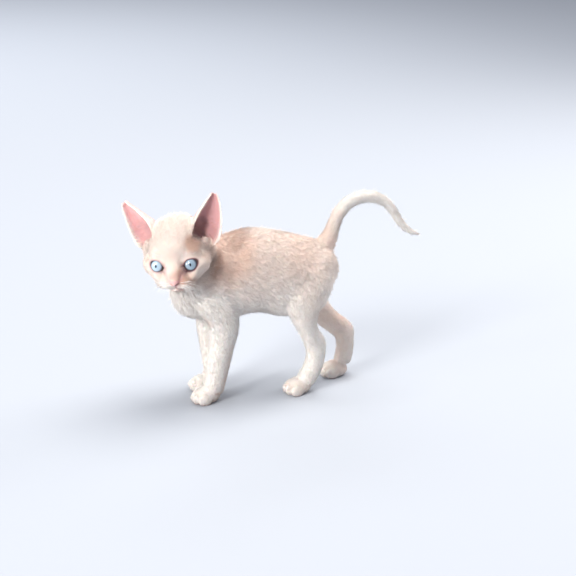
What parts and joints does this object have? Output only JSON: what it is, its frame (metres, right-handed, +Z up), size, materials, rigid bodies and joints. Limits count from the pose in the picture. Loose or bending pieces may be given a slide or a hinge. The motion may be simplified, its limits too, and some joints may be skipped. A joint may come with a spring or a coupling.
{
  "type": "devon rex kitten",
  "caption": "Standing big-eared short-coated kitten with its tail arched up and its head turned to its left; a still, life-size model.",
  "frame": {"origin": "on the floor, at the middle of the underside of the bounding box", "axes": "+X from the head end towards the tail end, +Y towards the animal's right side, +Z up"},
  "size_m": [0.2768, 0.0818, 0.199],
  "materials": {
    "head_coat": "short plush cream-white coat",
    "body_coat": "short waved warm cream coat",
    "leg_coat": "short plush near-white coat",
    "ear_skin": "thin pink skin with fine down",
    "nose_skin": "moist pink skin",
    "eye": "clear pale blue"
  },
  "bodies": {
    "root": {"head": "head_coat", "ear_left": "ear_skin", "ear_right": "ear_skin", "eye_left": "eye", "eye_right": "eye", "nose": "nose_skin", "neck": "body_coat", "torso": "body_coat", "tail_base": "body_coat", "tail_middle": "body_coat", "tail_tip": "body_coat", "foreleg_left_upper": "leg_coat", "foreleg_left_lower": "leg_coat", "forepaw_left": "leg_coat", "foreleg_right_upper": "leg_coat", "foreleg_right_lower": "leg_coat", "forepaw_right": "leg_coat", "hindleg_left_upper": "leg_coat", "hindleg_left_lower": "leg_coat", "hindpaw_left": "leg_coat", "hindleg_right_upper": "leg_coat", "hindleg_right_lower": "leg_coat", "hindpaw_right": "leg_coat"}
  },
  "joints": []
}
